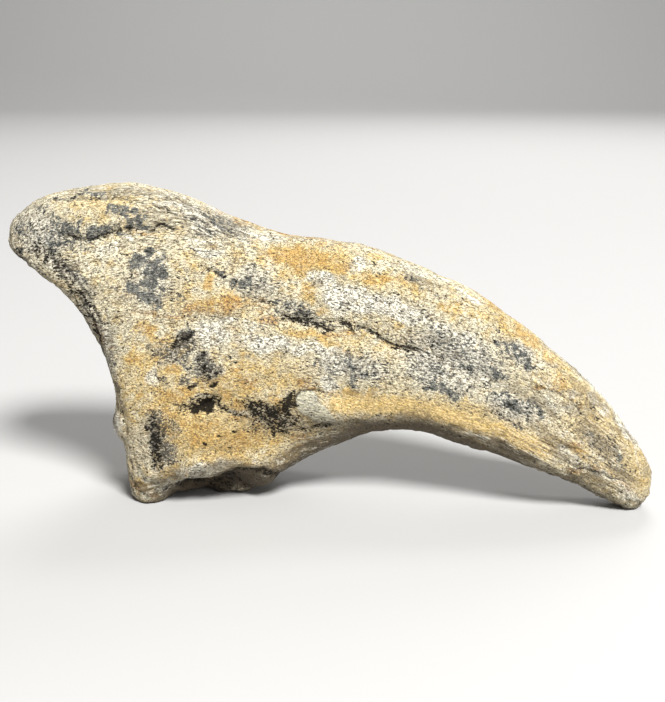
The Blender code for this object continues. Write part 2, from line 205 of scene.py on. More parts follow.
# Each row says what a Patch says.
PATCHES = {
    "warm": (
        (610, 450, 60, 40, 1.0, 30), (590, 400, 60, 18, 1.0, 50), (100, 205, 40, 10, 0.8),
        (280, 470, 50, 14, 0.7, -20), (222, 425, 100, 44, 1.0), (150, 372, 36, 34, 0.8),
        (258, 374, 62, 24, 0.75, 5), (445, 412, 110, 15, 0.9, 8), (500, 316, 70, 14, 0.75, 32),
        (312, 258, 62, 20, 0.9, 3), (575, 440, 75, 28, 0.55, 25), (90, 214, 52, 15, 0.5),
        (205, 302, 62, 16, 0.8, 5), (124, 410, 16, 80, 0.6), (185, 262, 34, 12, 0.5, 10),
        (380, 284, 55, 12, 0.7, 12), (330, 338, 60, 10, 0.7, 12), (131, 456, 8, 30, 0.8, -4),
        (560, 372, 60, 20, 0.6, 45), (300, 445, 40, 16, 0.6, -25), (178, 345, 26, 14, 0.55),
    ),
    "cool": (
        (450, 362, 62, 34, 0.8, 12), (38, 232, 30, 28, 0.8), (212, 222, 56, 12, 0.8, 18),
        (62, 268, 44, 9, 0.8, 45), (96, 325, 50, 8, 0.7, 62), (255, 284, 30, 20, 0.6, 10),
        (345, 366, 40, 16, 0.7), (525, 355, 26, 18, 0.8, 35), (520, 408, 36, 14, 0.7, 12),
        (147, 280, 26, 34, 0.7), (600, 445, 34, 16, 0.5, 45), (268, 238, 30, 4, 0.7, 12),
        (112, 365, 30, 5, 0.6, 80), (395, 310, 34, 12, 0.3, 20), (148, 440, 14, 32, 0.6),
        (435, 320, 26, 12, 0.5, 30),
    ),
    "ochre": (
        (160, 398, 34, 24, 0.62), (238, 440, 56, 26, 0.7, -5), (190, 428, 40, 24, 0.65),
        (163, 345, 24, 14, 0.55), (215, 386, 34, 14, 0.6), (258, 388, 34, 14, 0.55),
        (165, 470, 24, 14, 0.55), (290, 404, 24, 18, 0.5), (206, 300, 24, 7, 0.7, 5),
        (232, 300, 14, 7, 0.8), (300, 258, 46, 13, 1.0, 3), (332, 266, 26, 8, 0.8, 5),
        (284, 272, 13, 15, 0.55), (378, 252, 30, 5, 0.55, 14), (300, 290, 19, 14, 0.7),
        (325, 308, 10, 6, 0.8), (380, 281, 27, 6, 0.85, 6), (416, 289, 16, 7, 0.6, 25),
        (448, 307, 22, 8, 0.6, 20), (474, 314, 22, 6, 0.6, 18), (503, 318, 26, 8, 0.65, 32),
        (528, 334, 26, 8, 0.8, 38), (552, 358, 20, 7, 0.7, 45), (556, 381, 17, 9, 0.75, 15),
        (210, 282, 9, 7, 0.95, 35), (189, 268, 9, 5, 0.6), (105, 187, 14, 3, 0.5),
        (172, 214, 16, 5, 0.4, 20), (200, 243, 9, 3, 0.4), (86, 251, 9, 4, 0.75),
        (75, 256, 5, 3, 0.7), (146, 330, 12, 7, 0.9), (129, 343, 8, 12, 0.5),
        (135, 361, 12, 10, 0.8), (155, 361, 10, 6, 0.6), (172, 371, 10, 8, 1.0),
        (175, 396, 23, 6, 0.9, -5), (170, 412, 12, 8, 0.8), (181, 425, 8, 8, 0.95),
        (226, 395, 13, 6, 1.0, -8), (240, 405, 10, 8, 0.9), (246, 360, 16, 12, 0.55),
        (262, 373, 22, 10, 0.5), (290, 384, 11, 10, 0.55), (205, 424, 14, 8, 0.9),
        (199, 440, 15, 10, 0.95), (241, 439, 22, 12, 0.9), (225, 456, 26, 7, 0.6),
        (258, 450, 15, 6, 0.6), (365, 392, 24, 6, 0.8, 3), (345, 394, 12, 6, 0.6),
        (310, 335, 26, 6, 0.7, 10), (332, 341, 20, 5, 0.6, 10), (366, 339, 9, 5, 0.8, 15),
        (385, 346, 11, 6, 0.6, 20), (395, 326, 8, 4, 0.6), (581, 455, 11, 4, 0.85, 5),
        (641, 470, 6, 20, 0.5, 5), (592, 422, 15, 6, 0.5, 38), (492, 430, 24, 9, 0.7, 12),
        (128, 410, 8, 34, 0.45), (135, 470, 8, 16, 0.45), (138, 486, 14, 11, 0.7),
        (72, 215, 12, 8, 0.4), (95, 218, 12, 7, 0.35), (236, 345, 12, 6, 0.4),
        (470, 398, 12, 8, 0.45, 10), (298, 450, 30, 8, 0.6, -25),
    ),
    "rust": (
        (230, 305, 16, 8, 0.85), (206, 311, 17, 6, 0.75, 5), (188, 308, 10, 4, 0.8),
        (226, 298, 9, 4, 0.8), (172, 316, 25, 3, 0.6, 5), (147, 312, 14, 5, 0.55),
        (148, 330, 10, 6, 0.45), (139, 231, 13, 2.5, 0.6), (270, 317, 10, 6, 0.85, 15),
        (264, 304, 12, 8, 0.4), (338, 335, 22, 4, 0.5, 12), (250, 380, 14, 6, 0.6),
        (235, 369, 8, 5, 0.55), (307, 383, 12, 5, 0.65), (330, 397, 9, 4, 0.5),
        (231, 328, 11, 2, 0.55), (551, 391, 13, 2.5, 0.9, 10), (576, 406, 9, 5, 0.55, 50),
        (571, 449, 17, 2.5, 0.9), (578, 469, 14, 2.5, 0.8, 5), (604, 471, 15, 4, 0.5, 15),
        (627, 490, 16, 5, 0.45, 20), (300, 441, 22, 8, 0.45, -20), (100, 334, 4, 22, 0.5, -25),
        (136, 489, 12, 4, 0.7, 40), (142, 493, 18, 5, 0.6, 12), (225, 418, 26, 4, 0.4, 8),
        (270, 398, 20, 7, 0.4), (346, 352, 20, 4, 0.3), (315, 241, 34, 4, 0.35, 3),
        (195, 309, 20, 6, 0.7), (216, 300, 18, 5, 0.5),
    ),
    # White: the palest bone. The thin rows along the dorsal edge and the tip's upper side and the
    # row on the heel's rim are painted highlights; the heel ridge rows are pale bone brightened as
    # painted light.
    "white": (
        (600, 400, 36, 5, 0.35, 54), (560, 356, 34, 6, 0.6, 42), (630, 430, 20, 6, 0.7, 62),
        (470, 420, 40, 4, 0.4, 14), (640, 462, 14, 3, 0.5, 75), (585, 467, 44, 5, 0.6, 25),
        (628, 494, 18, 6, 0.6, 30), (570, 440, 30, 8, 0.4, 25), (597, 406, 16, 7, 0.45, 48),
        (602, 452, 40, 12, 0.35, 40), (180, 478, 26, 5, 0.85, -24), (160, 487, 10, 4, 0.7, -30),
        (620, 418, 22, 4, 0.6, 58), (176, 196, 22, 4, 0.6, 15), (172, 206, 20, 3, 0.6, 15),
        (206, 250, 19, 5, 0.95, 10), (126, 239, 10, 2.5, 0.9, 8), (105, 250, 14, 7, 0.5),
        (330, 286, 16, 12, 0.9, 10), (352, 299, 31, 12, 1.0, 12), (355, 265, 13, 8, 0.9),
        (388, 306, 28, 9, 0.9, 15), (310, 275, 8, 6, 0.7), (404, 316, 21, 7, 0.7, 20),
        (440, 326, 13, 8, 0.6, 20), (345, 314, 8, 4, 0.6), (211, 335, 21, 12, 0.8),
        (225, 320, 14, 6, 0.6), (251, 325, 11, 8, 0.5), (264, 342, 32, 8, 0.9),
        (312, 351, 30, 7, 0.7), (200, 291, 8, 8, 0.5), (335, 361, 15, 8, 0.6),
        (370, 371, 17, 11, 0.5), (329, 386, 7, 9, 0.85), (461, 341, 20, 10, 0.6, 15),
        (455, 376, 18, 14, 0.4, 20), (490, 386, 20, 6, 0.5, 12), (470, 298, 22, 3.5, 0.8, 30),
        (430, 275, 26, 6, 0.7, 22), (409, 266, 12, 5, 0.6, 20), (503, 309, 22, 3, 0.7, 34),
        (598, 390, 22, 3, 0.4, 52), (575, 394, 10, 5, 0.5, 40), (562, 406, 20, 6, 0.5, 25),
        (206, 464, 30, 5, 0.85, -12), (170, 479, 18, 5, 0.8, -28), (236, 412, 10, 4, 0.6, 15),
        (200, 399, 9, 3, 0.6), (170, 437, 10, 3, 0.6), (150, 376, 6, 8, 0.7),
        (140, 187, 20, 3, 0.5), (80, 262, 18, 6, 0.35, 20), (270, 236, 26, 4, 0.5, 12),
        (238, 487, 14, 4, 0.4), (270, 262, 6, 8, 0.6), (131, 456, 7, 28, 0.5, -4),
        (598, 404, 16, 7, 0.6, 50),
    ),
    "stain": (
        (64, 234, 12, 8, 0.55), (120, 212, 9, 5, 0.95), (130, 223, 7, 6, 0.9),
        (142, 217, 4, 5, 0.75), (91, 231, 6, 6, 1.0), (70, 230, 8, 4, 0.9), (72, 245, 5, 5, 0.65),
        (53, 240, 9, 11, 0.75), (55, 220, 7, 8, 0.6), (43, 208, 5, 4, 0.55), (38, 239, 5, 8, 0.55),
        (20, 232, 7, 7, 0.6), (22, 252, 5, 5, 0.85), (90, 195, 15, 4, 0.65, -3),
        (100, 194, 5, 4, 0.8), (77, 218, 5, 4, 0.5), (107, 211, 3, 4, 0.6), (85, 188, 5, 2, 0.6),
        (110, 222, 6, 10, 0.4), (149, 252, 5, 5, 1.2), (137, 259, 8, 6, 1.1),
        (160, 258, 4, 6, 0.9, 40), (148, 270, 9, 8, 1.25), (158, 272, 6, 8, 1.2),
        (147, 281, 8, 8, 1.15), (133, 286, 7, 7, 1.0), (145, 297, 9, 6, 1.15),
        (158, 301, 8, 7, 0.9), (158, 292, 7, 6, 0.65), (180, 298, 7, 10, 0.45),
        (114, 288, 4, 2, 0.55), (233, 356, 6, 6, 0.35), (110, 350, 4, 20, 0.4, -15),
        (237, 286, 8, 5, 0.8, 45), (247, 284, 8, 4, 0.85, -20), (221, 275, 10, 3, 0.6, 45),
        (212, 269, 7, 2.5, 0.4), (281, 302, 10, 5, 0.55, 15), (303, 311, 7, 8, 0.9),
        (226, 226, 22, 7, 0.6, 20), (348, 358, 5, 10, 0.6), (315, 367, 6, 4, 0.5),
        (333, 373, 9, 5, 0.6, 60), (351, 376, 6, 8, 0.6), (366, 375, 9, 4, 0.6),
        (355, 386, 4, 2.5, 0.75), (410, 275, 8, 3, 0.55, 30), (440, 388, 12, 6, 0.85, 30),
        (451, 395, 9, 4, 0.95, 25), (425, 388, 6, 4, 0.7), (418, 401, 4, 2.5, 0.75),
        (468, 352, 6, 3, 0.75), (496, 375, 13, 5, 0.8, 20), (466, 369, 9, 3, 0.7, 5),
        (508, 345, 13, 7, 0.62, 20), (520, 358, 14, 11, 0.64, 35), (530, 369, 7, 6, 0.78),
        (497, 331, 4, 9, 0.4), (505, 398, 19, 4, 0.55, 5), (512, 404, 9, 4, 1.0, 5),
        (518, 428, 7, 7, 0.6), (536, 410, 13, 5, 0.6, 18), (592, 435, 6, 4, 0.6),
        (618, 458, 9, 4, 0.7, 60), (252, 337, 9, 4, 0.55), (112, 208, 5, 3, 1.1),
        (122, 216, 6, 3.5, 1.25, 30), (134, 211, 5, 3, 1.1, -10), (129, 226, 6, 3, 1.15, -20),
        (139, 221, 4, 6, 1.1), (101, 231, 6, 3, 1.1, -10), (84, 235, 6, 3, 1.0),
        (80, 222, 3, 3, 1.0), (66, 226, 5, 3, 1.0), (120, 233, 4, 2.5, 0.9),
        (146, 228, 4, 2.5, 0.9),
    ),
    "mottle": (
        (160, 425, 15, 15, 0.95), (165, 452, 16, 16, 1.0), (175, 350, 24, 16, 0.8, -10),
        (206, 370, 14, 20, 0.8, -20), (268, 420, 40, 16, 0.7, 10), (60, 236, 30, 16, 0.5),
        (300, 312, 34, 12, 0.6, 18), (205, 406, 24, 8, 0.5), (262, 420, 34, 14, 0.5),
        (30, 240, 12, 16, 0.4), (455, 386, 24, 10, 0.45, 15), (300, 306, 26, 8, 0.4, 15),
        (72, 272, 26, 7, 0.5, 48), (86, 300, 22, 6, 0.45, 56), (99, 328, 20, 5, 0.4, 66),
        (48, 250, 12, 8, 0.5, 30), (108, 362, 16, 4, 0.4, 80), (238, 240, 18, 4, 0.45, 15),
        (196, 222, 20, 3, 0.5, 22), (60, 199, 13, 3, 0.5), (70, 210, 10, 3, 0.5, -18),
        (170, 290, 11, 11, 0.4), (157, 385, 11, 6, 0.45), (156, 393, 9, 4, 0.5),
        (250, 270, 9, 8, 0.5), (259, 276, 9, 11, 0.4), (205, 213, 24, 5, 0.45, 18),
        (213, 232, 14, 3, 0.5, 10), (150, 226, 10, 4, 0.3), (330, 356, 13, 6, 0.4),
        (378, 373, 22, 13, 0.38), (420, 318, 13, 7, 0.5, 35), (425, 361, 13, 11, 0.48),
        (440, 376, 13, 12, 0.48), (480, 366, 15, 7, 0.5, 25), (546, 362, 9, 6, 0.42, 40),
        (508, 412, 11, 7, 0.5), (614, 434, 10, 6, 0.4, 50), (556, 426, 22, 10, 0.28, 15),
        (600, 462, 16, 6, 0.3, 15), (415, 340, 16, 8, 0.35, 20), (262, 325, 12, 6, 0.4),
        (480, 402, 16, 8, 0.3, 10), (30, 262, 20, 5, 0.45, 25), (475, 340, 24, 8, 0.3, 15),
        (455, 345, 40, 16, 0.55, 18), (470, 362, 44, 18, 0.5, 15), (440, 330, 22, 10, 0.5, 30),
        (350, 366, 34, 12, 0.5), (520, 352, 22, 14, 0.6, 40), (512, 404, 30, 9, 0.6, 8),
        (515, 425, 12, 10, 0.45), (262, 282, 24, 12, 0.45, 10), (430, 372, 26, 16, 0.55, 20),
        (600, 440, 24, 12, 0.4, 50), (516, 353, 20, 14, 0.36, 30), (415, 368, 12, 14, 0.5, 30),
        (185, 336, 6, 6, 1.3), (178, 342, 8, 7, 1.08), (190, 346, 5, 4, 0.88),
        (171, 350, 7, 4, 1.01), (160, 358, 11, 4, 1.01, -15), (148, 346, 9, 5, 0.74),
        (160, 366, 6, 5, 0.81), (185, 366, 8, 4, 0.88, 50), (163, 378, 5, 3, 1.01),
        (179, 385, 6, 6, 1.15), (192, 388, 6, 2.5, 1.22), (204, 355, 5, 4, 1.3),
        (212, 363, 7, 5, 1.15, 50), (219, 371, 8, 8, 0.81), (213, 386, 4.5, 2.5, 1.3),
        (158, 413, 9, 5, 0.81), (153, 430, 7, 10, 1.08), (152, 446, 6, 10, 1.22),
        (162, 457, 9, 6, 1.08, 30), (176, 461, 7, 5, 0.88, -20), (160, 466, 10, 6, 0.81, 10),
        (172, 430, 11, 4, 0.81),
    ),
    "black": (
        (219, 435, 3, 1.2, 1.3), (236, 432, 3, 1.2, 1.2, 10), (206, 444, 3, 1.6, 1.2, 20),
        (229, 448, 2.5, 1.3, 1.2), (186, 338, 5, 3, 1.2, -30), (204, 354, 4, 3, 1.2, 20),
        (213, 386, 4, 2, 1.4), (190, 388, 4, 2, 1.2), (152, 440, 4, 5, 0.9),
        (157, 457, 7, 4, 0.9, 40), (152, 425, 4, 4, 0.8), (248, 356, 2, 2, 0.9),
        (203, 407, 10, 4.5, 1.7, -8), (196, 410, 6, 2.5, 1.5), (284, 406, 6, 4, 1.5, -30),
        (290, 398, 3, 5, 1.4), (256, 412, 16, 8, 0.8, 20), (246, 406, 10, 4, 0.7, 25),
        (278, 428, 16, 6, 0.7, 10), (300, 431, 12, 4, 0.6, -15), (154, 447, 7, 14, 0.8),
        (160, 462, 12, 7, 0.72, 30), (150, 425, 5, 9, 0.72), (180, 338, 10, 5, 0.65, -30),
        (200, 402, 22, 6, 0.62, -5), (206, 372, 6, 16, 0.5, -20), (308, 322, 20, 4, 0.5, 18),
        (22, 254, 6, 6, 0.6), (268, 417, 20, 10, 0.9), (284, 405, 11, 8, 0.95, -30),
        (292, 397, 4, 7, 0.95), (260, 408, 15, 7, 0.8), (252, 414, 8, 8, 0.6),
        (283, 418, 9, 9, 0.7), (292, 425, 7, 6, 0.75), (286, 433, 7, 4, 0.7), (257, 427, 7, 3, 0.6),
        (250, 400, 8, 3, 0.4), (303, 312, 6, 6, 0.55), (290, 319, 8, 3, 0.7, 10),
        (22, 251, 4, 4, 0.5), (204, 407, 13, 5, 0.95, -12), (212, 400, 5, 5, 0.85),
        (153, 446, 4, 6, 0.5), (228, 480, 22, 8, 0.45), (60, 262, 14, 3, 0.6, 55),
        (80, 296, 16, 3, 0.5, 50), (40, 250, 14, 7, 0.5, 35), (90, 316, 16, 3, 0.45, 60),
        (512, 404, 6, 2.5, 0.4, 5), (204, 355, 3, 3, 0.5),
    ),
    "streaked": (
        (205, 222, 66, 20, 1.0, 20), (70, 270, 34, 10, 0.8, 48), (95, 322, 34, 9, 0.8, 64),
        (300, 455, 46, 14, 0.5, -25), (110, 190, 60, 7, 0.5, -2), (430, 285, 60, 9, 0.5, 24),
        (145, 484, 18, 14, 0.8, 30), (240, 462, 34, 6, 0.6, -8), (500, 440, 80, 8, 0.6, 14),
    ),
    "calm": (
        (430, 278, 40, 6, 0.6, 20), (480, 300, 60, 8, 0.9, 30), (545, 350, 50, 8, 0.9, 42),
        (600, 398, 42, 9, 0.9, 52), (85, 212, 32, 8, 0.45), (215, 440, 40, 14, 0.4),
        (90, 188, 26, 4, 0.4), (636, 450, 20, 8, 0.6, 70), (640, 485, 10, 16, 0.5, 20),
        (131, 456, 8, 30, 0.6, -4),
    ),
    # Painted shade in the scoops under the heel.
    "scoop": ((226, 481, 26, 9, 1.0, -4), (192, 485, 22, 4, 0.75, -6), (252, 474, 16, 4, 0.7, -20)),
    "crystal": ((116, 429, 7, 15, 1.0),),
}

# These patches are nearly whole up to their edge, and the others fade from near their middle.
WHOLE_PATCHES = ("stain", "black", "white", "scoop")
WHOLE_EDGE = (0.55, 1.5)
FADING_EDGE = (0.3, 1.6)
SMALL_PATCH = 6  # a shorter patch than this keeps its drawn place better

# On the sides that the drawing does not show, each colour grows in patches of this size in
# millimetres, wherever the noise is above this level. A level of 9 means nowhere.
HIDDEN_PATCHES = {
    "warm": (26.0, 0.02),
    "cool": (17.0, 0.16),
    "ochre": (17.0, 0.10),
    "rust": (9.0, 0.34),
    "white": (13.0, 0.12),
    "stain": (8.0, 0.30),
    "mottle": (16.0, 0.10),
    "black": (6.0, 0.55),
    "streaked": (26.0, 0.05),
    "calm": (22.0, 0.1),
    "scoop": (10.0, 9.0),
    "crystal": (10.0, 9.0),
}

# The creases that the far side has too, and how many squares they are displaced there.
FAR_CREASES = (
    "groove crack", "second groove crack", "long groove crack", "slanting crack", "vessel hole",
    "vessel crack", "neck layer", "second neck layer", "middle crack", "brown crack",
    "upper tip crack", "lower tip crack", "upper lip line",
)
FAR_SHIFT = (9.0, -5.0)

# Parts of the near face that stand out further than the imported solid, in millimetres.
BULGES = (
    (205, 466, 52, 9, 1.5, -10), (117, 429, 7, 16, 2.0), (44, 266, 38, 9, 1.7, 38),
    (315, 407, 17, 13, 0.5, 15), (110, 214, 52, 12, 0.6, -3), (255, 480, 20, 8, 1.8, -20),
    (205, 487, 34, 6, 1.6), (272, 470, 26, 6, 1.4, -30),
)

# Painted shade along the lower edge, where the near face turns under, in a brown that is partly the
# bone's own.
SHADED_LOWER_EDGE = (
    (268, 468), (290, 455), (312, 443), (335, 435), (360, 429), (400, 426), (440, 430), (475, 437),
    (510, 449), (535, 460),
)

# The smooth orange ledge above the lower edge, painted paler than its own orange as a painted
# highlight, and the scar of pale bone at its joint end.
LEDGE = (
    (338, 404), (358, 405), (380, 406), (410, 407), (450, 417), (490, 430), (520, 441), (548, 449),
)
SCAR = (
    (307, 402, 12, 13, 1.0, 10), (317, 410, 16, 9, 1.0, 40),
    (302, 395, 8, 6, 1.0, -20), (327, 418, 10, 5, 1.0, 42),
)
SCAR_HEIGHT = 0.3  # in millimetres

# The studio, in metres: a floor that turns up into a wall, with a rounded corner between them.
FLOOR_SIZE = 6.0
WALL_PLACE = 4.0
WALL_HEIGHT = 4.0
CORNER_ROUNDING = 1.6

# Each light's name, its place, what it is turned to and its size.
LIGHTS = (
    ("key_light", (0.55, -1.15, 1.75), (0, 0.1, 0.0), 0.6),
    ("fill_light", (1.3, -1.5, 0.8), (0, 0, 0.05), 1.0),
    ("back_light", (0.5, 1.5, 1.3), (0, 0, 0.05), 1.0),
    ("backdrop_light", (0.0, 1.4, 2.6), (0, 3.2, 0.4), 1.6),
)


def to_drawn(points):
    """Where points show in the drawing, in squares across and down."""
    away = points - np.array(LOOK_AT)
    viewer = np.array(TO_VIEWER)
    up = np.array((0.0, viewer[2], -viewer[1]))
    scale = SQUARES_PER_MM * VIEW_DISTANCE / (VIEW_DISTANCE - away @ viewer)
    across = DRAWING[0] / 2 + away[:, 0] * scale
    return np.column_stack((across, DRAWING[1] / 2 - away @ up * scale))


def smooth_step(low, high, values):
    """Where values lie between two limits, from 0 to 1 with soft ends."""
    share = np.clip((values - low) / (high - low), 0.0, 1.0)
    return share * share * (3 - 2 * share)


def wandering(points):
    """A smooth random shift for each point, of up to about 1 in x, y and z."""
    return np.array([noise.noise_vector(p) for p in points.tolist()])


def grown_noise(points, size, octaves=3):
    """Noise of about -1 to 1 with lumps of this size, in millimetres, at each point."""
    return np.array([noise.fractal(p, 1.0, 2.0, octaves) for p in (points / size).tolist()])


def ridges(points):
    """Noise with sharp hollows between rounded ridges, from about -1 to 1."""
    return np.clip(np.abs(grown_noise(points, 1.0, 2)) * 3.2, 0.0, 2.0) - 1


def along_line(points, line):
    """Each point's signed distance from a line, its place along the line, and the line's length."""
    nearest = np.full(len(points), np.inf)
    side = np.ones(len(points))
    run = np.zeros(len(points))
    done = 0.0
    for start, end in zip(np.array(line, float), np.array(line[1:], float)):
        step = end - start
        length = math.hypot(*step)
        away = points - start
        share = np.clip(away @ step / length**2, 0.0, 1.0)
        gap = np.linalg.norm(away - share[:, None] * step, axis=1)
        closer = gap < nearest
        nearest[closer] = gap[closer]
        side[closer] = np.sign(step[0] * away[closer, 1] - step[1] * away[closer, 0])
        run[closer] = done + share[closer] * length
        done += length
    return nearest * side, run, done


def distance_from(points, line):
    """Each point's distance from a line."""
    return np.abs(along_line(points, line)[0])


class Surface:
    """The bone's points, in millimetres, and what is known about each of them."""

    def __init__(self, bone):
        flat = np.empty(len(bone.data.vertices) * 3, np.float32)
        bone.data.vertices.foreach_get("co", flat)
        self.bone = bone
        self.points = flat.reshape(-1, 3).astype(float) / MM
        bone.data.vertices.foreach_get("normal", flat)
        self.normals = flat.reshape(-1, 3).astype(float)
        self.place_in_drawing()
        self.grain = self.grain_places()
        self.flow = self.flow_places()
        self.rim = self.rim_places()
        self.cover = {}

    def place_in_drawing(self):
        """Where each point is in the drawing, with edges that wander, and which points it shows."""
        wander = wandering(self.points / 4.0)
        drift = wandering(self.points / 9.0 + 70)
        drawn = to_drawn(self.points)
        self.drawn = drawn + 2.2 * wander[:, :2]
        self.scar_drawn = drawn + 3.0 * drift[:, :2]
        self.blotched = drawn + 4.5 * wander[:, :2] + 7.0 * drift[:, :2]
        near, far = self.near_and_far()
        depth = (self.points[:, 1] - near) / (far - near)
        facing = smooth_step(-0.15, 0.08, self.normals @ np.array(TO_VIEWER))
        self.seen = facing * (1 - smooth_step(0.32, 0.6, depth))
        self.far = smooth_step(0.5, 0.75, depth) * smooth_step(0.1, 0.5, self.normals[:, 1])
        mirrored = self.points.copy()
        mirrored[:, 1] = near + far - self.points[:, 1]
        self.mirrored = to_drawn(mirrored) + FAR_SHIFT + 3.0 * wander[:, :2] + 8.0 * drift[:, 1:]

    def near_and_far(self):
        """The least and the greatest y of the bone around each point."""
        x = self.points[:, 0]
        middles = np.linspace(x.min() + 3, x.max() - 3, 30)
        ends = [self.points[np.abs(x - middle) < 4, 1] for middle in middles]
        near = np.interp(x, middles, [end.min() for end in ends])
        far = np.interp(x, middles, [end.max() for end in ends])
        return near, far

    def grain_places(self):
        """Each point's distance along the claw, its distance above the axis, and its y."""
        side = self.points[:, [0, 2]]
        steps = np.linspace(0, 1, AXIS_STEPS)
        knots = np.linspace(0, 1, len(AXIS))
        axis = np.array(AXIS, float)
        line = np.column_stack([np.interp(steps, knots, axis[:, i]) for i in (0, 1)])
        half = AXIS_SMOOTHING // 2
        first = np.linspace(line[0] * (half + 1) - line[1] * half, line[0], half, endpoint=False)
        last = line[-1] + (line[-1] - line[-2]) * np.arange(1, half + 1)[:, None]
        line = np.vstack([first, line, last])
        kernel = np.hanning(AXIS_SMOOTHING) / np.hanning(AXIS_SMOOTHING).sum()
        line = np.column_stack([np.convolve(line[:, i], kernel, "valid") for i in (0, 1)])
        ahead = np.gradient(line, axis=0)
        ahead /= np.linalg.norm(ahead, axis=1)[:, None]
        runs = np.concatenate(([0.0], np.cumsum(np.linalg.norm(np.diff(line, axis=0), axis=1))))
        places = np.empty((len(side), 3))
        group = 8000  # points at a time, to save memory
        for begin in range(0, len(side), group):
            part = side[begin : begin + group]
            best = np.linalg.norm(part[:, None] - line[None], axis=2).argmin(axis=1)
            offset = part - line[best]
            tangent = ahead[best]
            above = offset[:, 1] * tangent[:, 0] - offset[:, 0] * tangent[:, 1]
            places[begin : begin + group, 0] = runs[best] + (offset * tangent).sum(axis=1)
            places[begin : begin + group, 1] = above
        places[:, 2] = self.points[:, 1]
        return places

    def flow_places(self):
        """The grain's places, but with lines that run more like the outline near it."""
        places = self.grain.copy()
        for sign in (1, -1):
            side = places[:, 1] * sign > 0
            along, over = places[side, 0], np.abs(places[side, 1])
            middles = np.linspace(along.min() + 4, along.max() - 4, 28)
            edge = [over[np.abs(along - middle) < 6].max() for middle in middles]
            edge = np.convolve(np.pad(edge, 2, mode="edge"), np.full(5, 0.2), "valid")
            share = np.clip(21.0 / np.interp(along, middles, edge), 0.4, 1.3)
            places[side, 1] *= 0.25 + 0.75 * share
        return places

    def rim_places(self):
        """Each point's distance from the joint surface's rim, its height and its y."""
        x, y, z = self.points.T
        return np.column_stack((x - np.interp(z, RIM_HEIGHTS, RIM_X), z, y))

    def store(self, name, values):
        """Keeps one value or one place for each point as an attribute for the material."""
        values = np.asarray(values, np.float32)
        kind, field = ("FLOAT_VECTOR", "vector") if values.ndim == 2 else ("FLOAT", "value")
        made = self.bone.data.attributes.new(name, kind, "POINT")
        made.data.foreach_set(field, values.ravel())


def only(item):
    """Selects just this object, and makes it active."""
    bpy.ops.object.select_all(action="DESELECT")
    item.select_set(True)
    bpy.context.view_layer.objects.active = item


def add_modifier(target, kind, **settings):
    """Adds a modifier with these settings and applies it."""
    only(target)
    bpy.ops.object.modifier_add(type=kind)
    modifier = target.modifiers[-1]
    for name, value in settings.items():
        setattr(modifier, name, value)
    bpy.ops.object.modifier_apply(modifier=modifier.name)


def copy_of_claw():
    """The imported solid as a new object, merged and back in four-sided faces."""
    only(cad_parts["claw"])
    bpy.ops.object.duplicate()
    bone = bpy.context.object
    bone.name = "weathered_bone"
    bone.data.name = "weathered_bone"
    for key in list(bone.keys()):
        del bone[key]
    bone.parent = None
    bpy.ops.object.mode_set(mode="EDIT")
    bpy.ops.mesh.select_all(action="SELECT")
    bpy.ops.mesh.remove_doubles(threshold=0.00001)
    bpy.ops.mesh.tris_convert_to_quads(face_threshold=0.9, shape_threshold=1.2)
    bpy.ops.mesh.normals_make_consistent(inside=False)
    bpy.ops.object.mode_set(mode="OBJECT")
    return bone


def patch_reach(places, patch):
    """How far each place is from a patch's middle, where 1 is its edge."""
    turn = math.radians(patch.turn)
    away = places - (patch.across, patch.down)
    along = away[:, 0] * math.cos(turn) + away[:, 1] * math.sin(turn)
    over = away[:, 1] * math.cos(turn) - away[:, 0] * math.sin(turn)
    return np.hypot(along / patch.long, over / patch.short)


def patches_at(surface, name):
    """How strongly patches of one colour cover each point of the drawing."""
    edge = WHOLE_EDGE if name in WHOLE_PATCHES else FADING_EDGE
    cover = np.zeros(len(surface.points))
    for row in PATCHES[name]:
        patch = Patch(*row)
        places = surface.drawn if patch.long < SMALL_PATCH else surface.blotched
        share = 1 - smooth_step(*edge, patch_reach(places, patch))
        cover = np.maximum(cover, patch.strength * share)
    return cover


def hidden_patches(surface, index, name):
    """How strongly a colour covers each point of the sides that the drawing does not show."""
    size, level = HIDDEN_PATCHES[name]
    joint = surface.cover["joint"][:, None]
    along = surface.grain * (0.55, 1.0, 0.8) * (1 - joint)
    height = grown_noise(along + surface.points * joint + 53.0 * index, size, 4)
    cover = 0.85 * smooth_step(level - 0.15, level + 0.5, height)
    if name in ("stain", "mottle", "black"):
        cover *= 1 - 0.85 * smooth_step(0.2, 0.7, surface.normals[:, 2])
    return cover


def scar_reach(surface):
    """How far each point is from the middle of the scar, where 1 is its edge."""
    return np.min([patch_reach(surface.scar_drawn, Patch(*row)) for row in SCAR], axis=0)


def carve_creases(surface):
    """How far the creases move each point outwards; stores where their black mineral lies."""
    count = len(surface.points)
    moves, smear = np.zeros(count), np.zeros(count)
    nearest, strength = np.full(count, 50.0), np.zeros(count)
    near_side = [(crease, surface.drawn, surface.seen) for crease in CREASES.values()]
    far_side = [(CREASES[name], surface.mirrored, surface.far) for name in FAR_CREASES]
    for crease, places, weight in near_side + far_side:
        gap, run, whole = (value / SQUARES_PER_MM for value in along_line(places, crease.line))
        thin = 0.35 + 0.65 * smooth_step(-0.3, 2.0, run) * smooth_step(-0.3, 2.5, whole - run)
        moves += crease.height * np.exp(-((gap / crease.width) ** 2)) * thin * weight
        if crease.dark:
            closer = (np.abs(gap) < np.abs(nearest)) & (weight > 0)
            nearest = np.where(closer, gap, nearest)
            strength = np.where(closer, crease.dark * thin * weight, strength)
            spread = crease.dark * 0.75 * np.exp(-((gap / max(crease.smear, 0.4)) ** 2)) * thin
            smear = np.maximum(smear, spread * weight)
    surface.store("crack_gap", nearest)
    surface.store("crack_dark", strength)
    surface.cover["black"] = np.maximum(surface.cover["black"], smear)
    return moves


